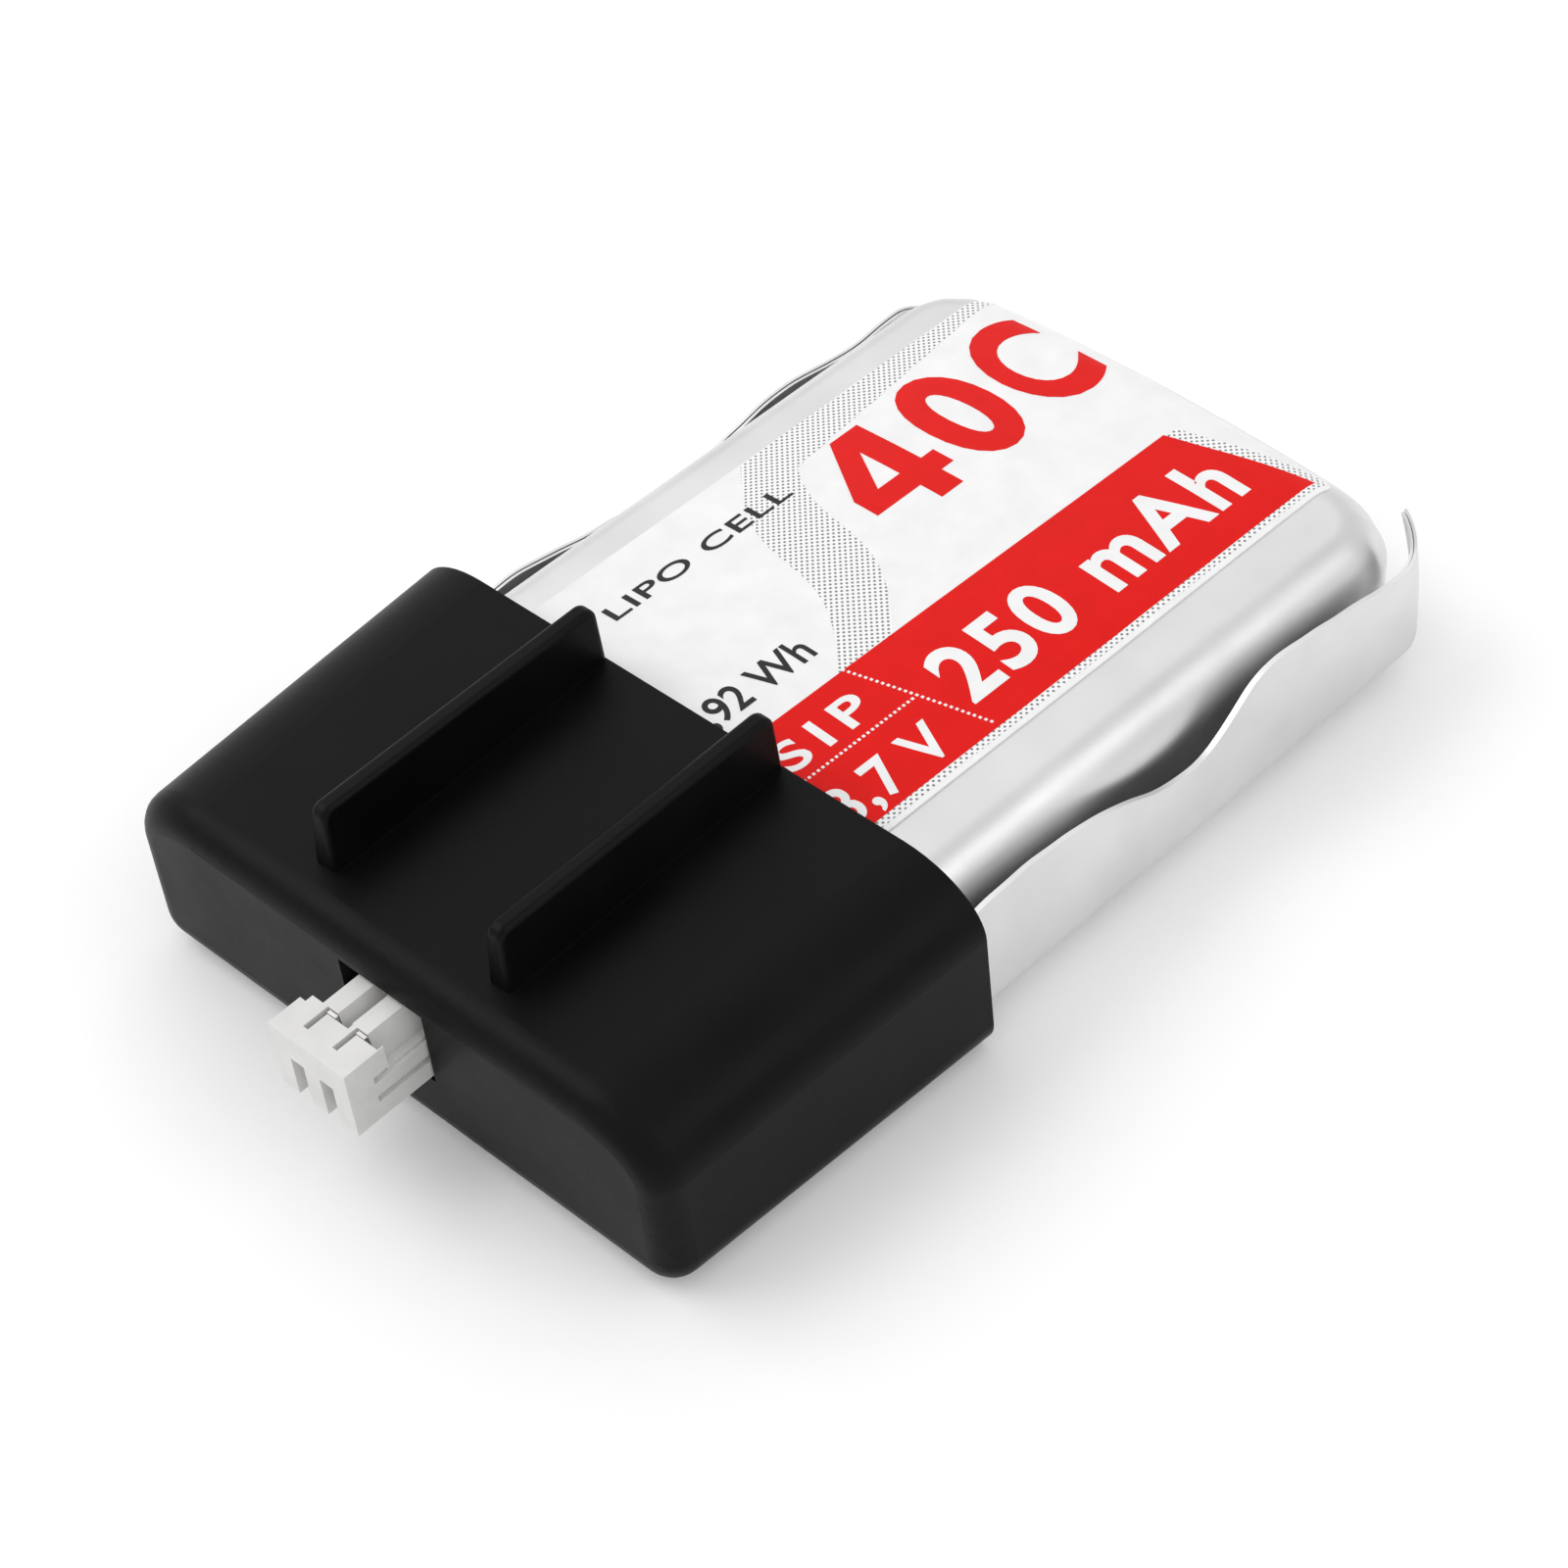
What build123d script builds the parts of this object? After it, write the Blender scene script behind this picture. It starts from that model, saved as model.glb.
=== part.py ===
from build123d import *
import os

# Single-cell LiPo pack: a silver laminate pouch whose terminal end sits in a moulded rail cap with
# a two-way plug. X runs across the pack, Y along it from the plug to the tail, Z up.
# Everything is drawn with the front face of the cap at y = 0 and the lowest point at z = 0. At the end
# the cell is turned a little in its cap, and the origin is moved under the middle of the whole pack.

# ---- Driving dimensions, millimetres ----
cap_width = 20.0
cap_length = 10.7
cap_height = 5.8
cap_wall = 0.45
cap_side_draft = 0.5          # how much narrower each side is at the front than at the open end
cap_top_draft = 0.18
cap_bottom_draft = 0.12

plug_width = 2.75
plug_pitch = 1.05
plug_reach = 2.4              # how far the plug stands out of the cap
plug_length = 4.1
plug_x = 0.06                 # the plug is glued in a touch off centre
plug_bottom = 2.35
plug_height = 2.15

pouch_width = 17.0            # drawn body, without the folded seals
pouch_start = 7.5
pouch_end = 29.4
pouch_top = 5.15
pouch_bottom = 0.55
foil = 0.15
cell_turn = 1.5               # degrees: the cell sits slightly askew in its cap

# ---- Cap ----
cap_top_corner_width = 2.55   # the top corners are quarter ellipses
cap_top_corner_height = 1.8
cap_bottom_corner = 0.95
cap_front_edge = 0.85
cap_inner_edge = 0.4
cap_front_wall = 0.6
slot_clearance = 0.12

fin_spacing = 6.2
fin_height = 1.74
fin_foot_width = 0.8
fin_taper = 4.0               # degrees
fin_start = 1.3
fin_end_round = 0.35
fin_top_round = 0.18

# ---- Plug ----
plug_front = -plug_reach
plug_back = plug_front + plug_length
plug_top = plug_bottom + plug_height
ridge_start = -1.12           # behind this the top is two ridges over the wire tunnels
ridge_top_width = 0.54
ridge_foot_width = 1.0
saddle = plug_top - 0.85      # valley between the ridges
side_step = 0.2               # the left side steps in behind the front bar
step_start = -1.35
slot_width = 0.48             # the mating pins enter through slots that are open underneath
slot_height = 1.3
latch_width = 0.74            # sprung plastic tongue over each contact
latch_length = 0.8
latch_gap = 0.17
latch_offset = 0.08           # the tongue's free side, from the middle of its way
tunnel_radius = 0.47
groove_depth = 0.12
groove_width = 0.22
groove_heights = (0.55, 1.2)
contact_height = 0.5
contact_width = 0.44
contact_metal = 0.1
contact_front = plug_front + 0.35
lance_width = 0.3
lance_thickness = 0.1
wire_z = 3.05
barrel_radius = 0.32

# ---- Leads and tabs ----
core_radius = 0.2
insulation_radius = 0.44
core_start = -0.9
insulation_start = 0.3
lead_turn_y = 3.4
lead_low_x = 1.9
lead_end_x = 5.1
insulation_end_x = 3.05
tab_offset = 4.5
tab_width = 2.4
tab_thickness = 0.1
tab_z = 0.8
tab_front = 2.2
tab_back = 9.0
core_low_z = tab_z + tab_thickness + core_radius + 0.01

solder_length = 1.7
solder_width = 1.3
solder_corner = 0.55
solder_height = 0.6
solder_bevel = 0.15
solder_overlap = 0.25

# ---- Front seal of the pouch ----
terrace_front = 4.6
terrace_width = 16.4
tunnel_half = tab_width / 2 + 0.35
tunnel_top = tab_z + tab_thickness + 0.2
film_gap = 0.08
film_front = 4.1
film_back = 7.0

# ---- Folded side seals ----
fold_x = 9.2                  # outer face of the folded seal
fold_start = 7.6
fold_end = 28.6
fold_radius = 0.45
fold_foot = pouch_width / 2 - 0.2
fold_tail_round = 1.2
# Height of each seal's wavy top edge along the pack, as (y, z).
right_wave = [(fold_start, 2.8), (11.2, 4.2), (14.7, 3.7), (18.4, 2.8), (20.2, 2.7), (22.4, 3.9),
              (26.5, 3.7), (fold_end, 4.5)]
left_wave = [(fold_start, 2.9), (12.0, 3.6), (16.1, 3.2), (18.5, 2.7),
             (22.7, 3.6), (25.5, 3.3), (fold_end, 3.0)]

# ---- Drawn body ----
body_corner = 2.5
body_shoulder = 1.3

# ---- Belly: the slight swell that the pack lies on ----
belly_start = 11.6
belly_end = 27.8
belly_width = 15.0
belly_corner = 3.0
belly_taper = 60              # degrees from upright

# ---- Electrode stack ----
cathode_count = 9
anode_count = cathode_count + 1
separator_count = 2 * cathode_count
cathode_thickness = 0.15
anode_thickness = 0.17
separator_thickness = 0.025
stack_floor = 0.8
electrode_width = 12.6
separator_overhang = 0.15
stack_front = 9.6
stack_back = 28.0
tongue_front = 9.35
tongue_width = 2.0
sheet_corner = 1.5
layer_pitch = cathode_thickness + anode_thickness + 2 * separator_thickness
stack_top = stack_floor + cathode_count * layer_pitch + anode_thickness

# ---- Tapes, glue and label ----
tape_thickness = 0.05
tape_gap = 0.02
tape_width = 4.0
tape_places = (14.0, 24.0)
insulating_tape_width = 13.0
label_thickness = 0.05
label_left = -6.7
label_right = 6.2
label_start = 8.6
label_end = 28.3

sides = {"positive": 1, "negative": -1}


def block(x0, x1, y0, y1, z0, z1):
    """A box between two corners."""
    size = Box(x1 - x0, y1 - y0, z1 - z0)
    return Pos((x0 + x1) / 2, (y0 + y1) / 2, (z0 + z1) / 2) * size


def front_plane(y):
    """The plane across the pack at y, with its own x along +X and its own y along +Z."""
    return Plane(origin=(0, y, 0), x_dir=(1, 0, 0), z_dir=(0, -1, 0))


def side_plane(x):
    """The plane along the pack at x, with its own x along +Y and its own y along +Z."""
    return Plane(origin=(x, 0, 0), x_dir=(0, 1, 0), z_dir=(1, 0, 0))


# ---- End cap ----

def cap_section(y, inset=0.0):
    """The cap's outline across the pack at y, moved inwards by inset."""
    towards_front = 1 - y / cap_length
    half = cap_width / 2 - cap_side_draft * towards_front - inset
    top = cap_height - cap_top_draft * towards_front - inset
    bottom = cap_bottom_draft * towards_front if inset == 0 else cap_wall
    wide = cap_top_corner_width - inset
    high = cap_top_corner_height - inset
    low = cap_bottom_corner - inset
    outline = [
        Line((-half + low, bottom), (half - low, bottom)),
        CenterArc((half - low, bottom + low), low, 270, 90),
        Line((half, bottom + low), (half, top - high)),
        EllipticalCenterArc((half - wide, top - high), wide, high, start_angle=0, arc_size=90),
        Line((half - wide, top), (-half + wide, top)),
        EllipticalCenterArc((-half + wide, top - high), wide, high, start_angle=90, arc_size=90),
        Line((-half, top - high), (-half, bottom + low)),
        CenterArc((-half + low, bottom + low), low, 180, 90),
    ]
    return front_plane(y) * make_face(outline)


def fin(x):
    """One guide fin: tapered, rounded at its top corners and cut flush with the cap's open end."""
    foot_z = cap_height - cap_top_draft
    length = 2 * (cap_length - fin_start)
    foot = Pos(x, cap_length, foot_z) * Rectangle(fin_foot_width, length)
    rib = extrude(foot, amount=cap_height + fin_height - foot_z, taper=fin_taper)
    rib = rib & block(x - 1, x + 1, 0, cap_length, 0, cap_height + fin_height)
    ends = rib.edges().filter_by(Axis.X).group_by(Axis.Z)[-1]
    rib = fillet(ends, fin_end_round)
    crest = rib.faces().filter_by(Axis.Z).sort_by(Axis.Z)[-1]
    return fillet(crest.edges().filter_by(Axis.Y), fin_top_round)


def end_cap():
    shell = loft([cap_section(0), cap_section(cap_length)], ruled=True)
    front_face = shell.faces().sort_by(Axis.Y)[0]
    shell = fillet(front_face.edges(), cap_front_edge)
    past_mouth = cap_length + 1
    hollow = loft([cap_section(cap_front_wall, cap_wall), cap_section(past_mouth, cap_wall)], ruled=True)
    hollow = fillet(hollow.faces().sort_by(Axis.Y)[0].edges(), cap_inner_edge)
    ribs = [fin(side * fin_spacing / 2) for side in (-1, 1)]
    half_slot = plug_width / 2 + slot_clearance
    slot = block(plug_x - half_slot, plug_x + half_slot, -1, cap_front_wall + 1,
                 plug_bottom - slot_clearance, plug_top + slot_clearance)
    return shell + ribs - hollow - slot


# ---- Plug ----

def plug_way(side):
    """Centre of one of the plug's two ways."""
    return plug_x + side * plug_pitch / 2


def tunnel_ridge(x):
    """The raised roof over one wire tunnel."""
    foot = ridge_foot_width / 2
    crown = ridge_top_width / 2
    outline = Polyline((x - foot, saddle), (x + foot, saddle), (x + crown, plug_top),
                       (x - crown, plug_top), close=True)
    length = plug_back - ridge_start
    return extrude(front_plane(ridge_start) * make_face(outline), amount=-length)


def latch_slit(x):
    """The L-shaped slit that frees a locking tongue along one side and behind it."""
    free_side = x + latch_offset
    back = ridge_start
    along = block(free_side - latch_gap, free_side, back - latch_length, back, plug_bottom, plug_top + 1)
    across = block(free_side - latch_gap, free_side + latch_width, back - latch_gap, back,
                   plug_bottom + slot_height - 0.1, plug_top + 1)
    return along + across


def connector_housing():
    left = plug_x - plug_width / 2
    right = plug_x + plug_width / 2
    body = block(left, right, plug_front, ridge_start, plug_bottom, plug_top)
    body += block(left, right, ridge_start, plug_back, plug_bottom, saddle)
    for side in sides.values():
        x = plug_way(side)
        body += tunnel_ridge(x)
        body -= latch_slit(x)
        body -= block(x - slot_width / 2, x + slot_width / 2, plug_front - 1, ridge_start,
                      plug_bottom - 1, plug_bottom + slot_height)
        body -= Pos(x, (ridge_start + plug_back) / 2, wire_z) * Rot(90, 0, 0) * Cylinder(
            tunnel_radius, plug_back - ridge_start + 1)
    body -= block(left - 1, left + side_step, step_start, plug_back + 1, plug_bottom + slot_height,
                  plug_top + 1)
    for height in groove_heights:
        z = plug_bottom + height
        body -= block(right - groove_depth, right + 1, plug_front + latch_length, plug_back + 1,
                      z, z + groove_width)
    return body


def contact(side):
    """A sprung box contact with its locking lance, and the barrel crimped round the core."""
    x = plug_way(side)
    back = core_start - 0.15
    low = plug_bottom + slot_height - contact_height - 0.02
    high = low + contact_height
    shell = block(x - contact_width / 2, x + contact_width / 2, contact_front, back, low, high)
    bore = contact_width / 2 - contact_metal
    shell -= block(x - bore, x + bore, contact_front - 1, back - contact_metal,
                   low + contact_metal, high - contact_metal)
    lance_top = plug_top - 0.04
    lance_back = ridge_start - 0.03
    lance = block(x, x + lance_width, lance_back - lance_thickness, lance_back,
                  high - contact_metal, lance_top)
    barrel_end = insulation_start - 0.05
    barrel_start = back - contact_metal
    barrel = Pos(x, (barrel_start + barrel_end) / 2, wire_z) * Rot(90, 0, 0) * Cylinder(
        barrel_radius, barrel_end - barrel_start)
    core_end = barrel_end + 1
    core = Pos(x, (core_start + core_end) / 2, wire_z) * Rot(90, 0, 0) * Cylinder(
        core_radius, core_end - core_start)
    return shell + lance + barrel - core


# ---- Leads ----

def lead_path(side, start_y, end_x):
    """Straight back from the plug, down and outwards, then across the tab."""
    x = plug_way(side)
    corners = [
        (x, start_y, wire_z),
        (x, lead_turn_y, wire_z),
        (side * lead_low_x, lead_turn_y, core_low_z),
        (side * end_x, lead_turn_y, core_low_z),
    ]
    return FilletPolyline(*corners, radius=[1.1, 1.7])


def lead_tube(side, radius, start_y, end_x):
    path = lead_path(side, start_y, end_x)
    section = Plane(origin=path @ 0, z_dir=path % 0) * Circle(radius)
    return sweep(section, path=path)


def lead_core(side):
    return lead_tube(side, core_radius, core_start, lead_end_x)


def lead_insulation(side):
    jacket = lead_tube(side, insulation_radius, insulation_start, insulation_end_x)
    return jacket - lead_core(side)


def solder(side):
    """A smooth bead over the core's bare end, on top of the tab."""
    centre_x = side * (lead_end_x + solder_overlap - solder_length / 2)
    foot = Pos(centre_x, lead_turn_y, tab_z + tab_thickness) * RectangleRounded(
        solder_length, solder_width, solder_corner)
    bead = extrude(foot, amount=solder_height)
    bead = chamfer(bead.faces().sort_by(Axis.Z)[-1].edges(), solder_bevel)
    return bead - lead_core(side)


# ---- Tabs and the film that seals them ----

def tab(side):
    x = side * tab_offset
    return block(x - tab_width / 2, x + tab_width / 2, tab_front, tab_back, tab_z, tab_z + tab_thickness)


def tab_seal(side):
    x = side * tab_offset
    half = tab_width / 2 + 0.2
    film = block(x - half, x + half, film_front, film_back, tab_z - film_gap,
                 tab_z + tab_thickness + film_gap)
    return film - tab(side)


def collector(side):
    """Gathered foil tails, running down from the stack's front to the tab that they are welded to."""
    foot_z = tab_z + tab_thickness
    outline = Polyline((tongue_front, stack_top - 0.2), (tongue_front, foot_z + 0.3), (tab_back, foot_z),
                       (tab_back - 1.1, foot_z), (tab_back - 1.0, foot_z + 0.3), close=True)
    x = side * tab_offset
    return extrude(side_plane(x - tongue_width / 2) * make_face(outline), amount=tongue_width)


# ---- Pouch ----

def body_form(grow=0.0):
    """The drawn body as a solid, grown outwards by grow. Its underside stays on the seal plane."""
    half = pouch_width / 2 + grow
    floor = pouch_bottom + foil
    form = block(-half, half, pouch_start - grow, pouch_end + grow, floor, pouch_top + grow)
    form = fillet(form.edges().filter_by(Axis.Z), body_corner + grow)
    return fillet(form.faces().sort_by(Axis.Z)[-1].edges(), body_shoulder + grow)


def fold_layer(side, outer_x, bottom, radius):
    """One foil layer of a side seal, folded up along the body, before its top edge is cut."""
    inner_x = outer_x - foil
    inner_radius = radius - foil
    outline = [
        Line((fold_foot, bottom), (outer_x - radius, bottom)),
        CenterArc((outer_x - radius, bottom + radius), radius, 270, 90),
        Line((outer_x, bottom + radius), (outer_x, pouch_top)),
        Line((outer_x, pouch_top), (inner_x, pouch_top)),
        Line((inner_x, pouch_top), (inner_x, bottom + radius)),
        CenterArc((outer_x - radius, bottom + radius), inner_radius, 0, -90),
        Line((outer_x - radius, bottom + foil), (fold_foot, bottom + foil)),
        Line((fold_foot, bottom + foil), (fold_foot, bottom)),
    ]
    strip = extrude(front_plane(fold_start) * make_face(outline), amount=-(fold_end - fold_start))
    return strip if side > 0 else mirror(strip, about=Plane.YZ)


def below_wave(side):
    """The region under one side seal's wavy top edge, with the round corner at its tail."""
    wave = right_wave if side > 0 else left_wave
    tail = fold_end - fold_tail_round
    outline = [
        Spline(*wave),
        Line(wave[-1], (fold_end, pouch_bottom + fold_tail_round)),
        CenterArc((tail, pouch_bottom + fold_tail_round), fold_tail_round, 0, -90),
        Line((tail, pouch_bottom), (fold_start, pouch_bottom)),
        Line((fold_start, pouch_bottom), wave[0]),
    ]
    return extrude(side_plane(0) * make_face(outline), amount=side * (fold_x + 1))


def tab_tunnel_space(side):
    """The space that the tab and its film take where they pass the front seal."""
    x = side * tab_offset
    half = tunnel_half - 0.12
    return block(x - half, x + half, terrace_front - 1, pouch_start + 1, pouch_bottom + foil,
                 tunnel_top - 0.08)


def pouch_cup():
    seal = pouch_bottom + foil
    cup = body_form()
    for side in (1, -1):
        cup += fold_layer(side, fold_x - foil, seal, fold_radius - foil) & below_wave(side)
        x = side * tab_offset
        cup += block(x - tunnel_half, x + tunnel_half, terrace_front, pouch_start + 1, seal, tunnel_top)
    half = terrace_width / 2
    cup += block(-half, half, terrace_front, pouch_start + body_corner, seal, seal + foil)
    cup -= body_form(-foil)
    for side in (1, -1):
        cup -= tab_tunnel_space(side)
    return cup


def belly_form(lift=0.0):
    """The swell under the pouch, wide where it leaves the flat film and narrower at its flat foot."""
    middle = (belly_start + belly_end) / 2
    rim = RectangleRounded(belly_width, belly_end - belly_start, belly_corner)
    swell = extrude(rim, amount=pouch_bottom, taper=belly_taper)
    return Pos(0, middle, pouch_bottom + lift) * Rot(180, 0, 0) * swell


def pouch_cover():
    half = terrace_width / 2
    film = body_form() & block(-20, 20, 0, 40, 0, pouch_bottom + 2 * foil)
    film = Pos(0, 0, -foil) * film
    film += block(-half, half, terrace_front, pouch_start + body_corner, pouch_bottom, pouch_bottom + foil)
    for side in (1, -1):
        film += fold_layer(side, fold_x, pouch_bottom, fold_radius) & below_wave(side)
    return film + belly_form() - belly_form(foil)


# ---- Electrode stack ----

def sheet(width, front, back, z, thickness):
    """A thin plate with rounded corners."""
    middle = (front + back) / 2
    plate = Pos(0, middle, z) * RectangleRounded(width, back - front, sheet_corner)
    return extrude(plate, amount=thickness)


def electrode(z, thickness, side):
    """One coated sheet with the bare tongue that reaches its collector."""
    x = side * tab_offset
    half = tongue_width / 2
    tongue = block(x - half, x + half, tongue_front, stack_front + 1, z, z + thickness)
    return sheet(electrode_width, stack_front, stack_back, z, thickness) + tongue


def cathode_sheets():
    first = stack_floor + anode_thickness + separator_thickness
    return [electrode(first + n * layer_pitch, cathode_thickness, sides["positive"])
            for n in range(cathode_count)]


def anode_sheets():
    return [electrode(stack_floor + n * layer_pitch, anode_thickness, sides["negative"])
            for n in range(anode_count)]


def separator_sheets():
    width = electrode_width + 2 * separator_overhang
    sheets = []
    for n in range(separator_count):
        above_cathode = n % 2
        z = stack_floor + (n // 2) * layer_pitch + anode_thickness
        z += above_cathode * (separator_thickness + cathode_thickness)
        sheets.append(sheet(width, stack_front - separator_overhang, stack_back + separator_overhang,
                            z, separator_thickness))
    return sheets


def stack_tape():
    """Two bands of tape right round the stack."""
    half = electrode_width / 2 + separator_overhang + tape_gap
    bands = []
    for y in tape_places:
        y0 = y - tape_width / 2
        y1 = y + tape_width / 2
        band = block(-half - tape_thickness, half + tape_thickness, y0, y1,
                     stack_floor - tape_thickness, stack_top + tape_thickness)
        bands.append(band - block(-half, half, y0 - 1, y1 + 1, stack_floor, stack_top))
    return bands


# ---- Tape, glue and label ----

def insulating_tape():
    half = insulating_tape_width / 2
    return block(-half, half, terrace_front - 0.3, pouch_start - 0.1,
                 tunnel_top, tunnel_top + tape_thickness)


def connector_glue():
    """A bead of glue round the plug, against the inside of the cap's front wall."""
    rim = 0.35
    left = plug_x - plug_width / 2
    right = plug_x + plug_width / 2
    bead = block(left - rim, right + rim, cap_front_wall, plug_back - 0.4,
                 plug_bottom - rim, plug_top + rim)
    bead -= block(left, right, 0, plug_back, plug_bottom, saddle)
    for side in sides.values():
        bead -= tunnel_ridge(plug_way(side))
    return bead


def cap_glue():
    """The adhesive pad between the cap's floor and the pouch."""
    return block(-7, 7, terrace_front + 0.4, cap_length - 0.3, cap_wall, pouch_bottom)


def label():
    skin = body_form(label_thickness) - body_form()
    return skin & block(label_left, label_right, label_start, label_end, pouch_top - 1.5, pouch_top + 1)


# ---- Put the pack together ----

in_cap = {
    "end_cap": end_cap(),
    "connector_housing": connector_housing(),
    "connector_glue": connector_glue(),
    "cap_glue": cap_glue(),
}
in_cell = {
    "pouch_cup": pouch_cup(),
    "pouch_cover": pouch_cover(),
    "cathode_sheets": cathode_sheets(),
    "anode_sheets": anode_sheets(),
    "separator_sheets": separator_sheets(),
    "stack_tape": stack_tape(),
    "insulating_tape": insulating_tape(),
    "label": label(),
}
for pole, side in sides.items():
    in_cap["contact_" + pole] = contact(side)
    in_cap["lead_core_" + pole] = lead_core(side)
    in_cap["lead_insulation_" + pole] = lead_insulation(side)
    in_cap["solder_" + pole] = solder(side)
    in_cell["tab_" + pole] = tab(side)
    in_cell["tab_seal_" + pole] = tab_seal(side)
    in_cell["collector_" + pole] = collector(side)


def as_compound(shape):
    """All the solids of one sub-part together."""
    pieces = shape if isinstance(shape, list) else shape.solids()
    return Compound(children=list(pieces))


turned = Pos(0, fold_start, 0) * Rot(0, 0, -cell_turn) * Pos(0, -fold_start, 0)
placed = {node: as_compound(shape) for node, shape in in_cap.items()}
placed.update({node: turned * as_compound(shape) for node, shape in in_cell.items()})

front = placed["connector_housing"].bounding_box().min.Y
tail = placed["pouch_cup"].bounding_box().max.Y
origin_y = (front + tail) / 2

# ---- Write one file per sub-part ----

os.makedirs("parts", exist_ok=True)
for node, shape in placed.items():
    export_step(Pos(0, -origin_y, 0) * shape, "parts/" + node + ".step")
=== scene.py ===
import bpy
import bmesh
import math
from mathutils import Matrix, Vector, noise


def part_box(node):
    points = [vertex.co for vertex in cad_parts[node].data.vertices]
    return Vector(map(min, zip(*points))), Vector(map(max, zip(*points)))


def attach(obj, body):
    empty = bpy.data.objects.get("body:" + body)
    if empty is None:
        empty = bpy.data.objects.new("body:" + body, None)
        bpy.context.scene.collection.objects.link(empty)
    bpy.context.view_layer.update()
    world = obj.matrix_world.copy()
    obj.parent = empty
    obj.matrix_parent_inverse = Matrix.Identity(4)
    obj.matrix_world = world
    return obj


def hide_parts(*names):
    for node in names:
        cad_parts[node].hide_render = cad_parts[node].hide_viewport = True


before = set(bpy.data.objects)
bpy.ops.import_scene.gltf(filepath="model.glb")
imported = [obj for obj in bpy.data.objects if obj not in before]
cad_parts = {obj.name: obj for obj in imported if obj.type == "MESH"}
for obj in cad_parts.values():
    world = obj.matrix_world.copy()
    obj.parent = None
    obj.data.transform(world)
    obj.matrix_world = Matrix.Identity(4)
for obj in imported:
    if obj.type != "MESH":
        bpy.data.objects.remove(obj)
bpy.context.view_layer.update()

MM = 0.001

# Lengths below are millimetres, measured from the cap's front face, as in the design.
# The cell is turned a little in its cap, about the front end of its side seals.
CAP_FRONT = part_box("end_cap")[0].y / MM
CELL_TURN = math.radians(1.5)
TURN_Y = 7.6

# Drawn body of the pouch
BODY_HALF = 8.5
BODY_START = 7.5
BODY_END = 29.4
BODY_CORNER = 2.6
BODY_FLOOR = 0.7
BODY_TOP = 5.12
SIDE_SHOULDER = (1.2, 1.4)    # width and drop of the rounded edge
TAIL_SHOULDER = (1.9, 2.3)
CROWN = 0.008                 # fall per square millimetre from the middle line
TAIL_FALL = 0.01              # fall per millimetre towards the tail
TAIL_FALL_START = 11.0
BROAD_RIPPLE = 0.03           # how far the film wanders up and down, over several millimetres
FINE_RIPPLE = 0.012           # and over about one millimetre
WALL_DENT = 0.05
CREASE = 0.035                # depth of the gathers where the film is drawn round a corner
CREASE_RATE = 14              # how fast the gathers follow each other, per radian of turn

# Underside
UNDER = 0.55
BELLY_HALF = 7.5
BELLY_START = 11.6
BELLY_END = 27.8
BELLY_CORNER = 3.0
BELLY_SLOPE = 1.0

# Folded side seals
FILM = 0.08
FOLD_X = 9.2
FOLD_RADIUS = 0.5
FOLD_START = 7.6
CURL_START = 27.6             # where a seal starts to curl round the body's tail
CURL_RADIUS = 1.3
FILM_GAP = 0.02               # between a seal's two films
FILM_STEP = 0.04              # how much lower the inner film is cut
SEAL_BULGE = 0.07             # how far a seal's band bows out, crinkles and leans
SEAL_CRINKLE = 0.035
SEAL_LEAN = 0.16

# Label
LABEL_LEFT = -6.5
LABEL_RIGHT = 6.17
LABEL_START = 8.6
LABEL_END = 28.45
LABEL_CORNER = 0.35
LABEL_RISE = 0.05
RATING_FEET = -1.1            # where the large rating's letters stand
INK = 0.006
GRID = 0.25                   # spacing of the cuts that let flat print follow the pouch

WHITE = (0.88, 0.88, 0.88, 1)
RED = (0.74, 0.003, 0.001, 1)
BLACK = (0.025, 0.025, 0.028, 1)
GREY = (0.22, 0.22, 0.225, 1)


# ---- Frame helpers ----

def at(x, y, z):
    """A design point in the frame's metres."""
    return Vector((x * MM, (y + CAP_FRONT) * MM, z * MM))


def on_cell(x, y, z):
    """A design point of the cell, turned with it."""
    turned_x = x * math.cos(CELL_TURN) + (y - TURN_Y) * math.sin(CELL_TURN)
    turned_y = TURN_Y + (y - TURN_Y) * math.cos(CELL_TURN) - x * math.sin(CELL_TURN)
    return at(turned_x, turned_y, z)


def blend(low, high, value):
    """0 below low, 1 above high, and smooth between."""
    t = min(max((value - low) / (high - low), 0), 1)
    return t * t * (3 - 2 * t)


def through(points, position):
    """A smooth curve through (position, value) points, read at one position."""
    last = len(points) - 2
    index = 0
    while index < last and position > points[index + 1][0]:
        index += 1
    (p0, v0), (p1, v1) = points[index], points[index + 1]
    before = points[index - 1] if index > 0 else points[index]
    after = points[index + 2] if index < last else points[index + 1]
    slope0 = (v1 - before[1]) / (p1 - before[0])
    slope1 = (after[1] - v0) / (after[0] - p0)
    span = p1 - p0
    t = min(max((position - p0) / span, 0), 1)
    return ((2 * t ** 3 - 3 * t ** 2 + 1) * v0 + (t ** 3 - 2 * t ** 2 + t) * span * slope0
            + (3 * t ** 2 - 2 * t ** 3) * v1 + (t ** 3 - t ** 2) * span * slope1)


def add_piece(name, bm, material, slot, *nodes):
    """Makes a piece of the model from a bmesh, hangs it on the root body and hides the CAD parts it stands
    for.
    """
    mesh = bpy.data.meshes.new(name)
    bm.to_mesh(mesh)
    bm.free()
    for polygon in mesh.polygons:
        polygon.use_smooth = True
    mesh.set_sharp_from_angle(angle=math.radians(40))
    mesh.materials.append(material)
    piece = bpy.data.objects.new(name, mesh)
    bpy.context.scene.collection.objects.link(piece)
    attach(piece, "root")
    if nodes:
        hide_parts(*nodes)
    return piece


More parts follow.
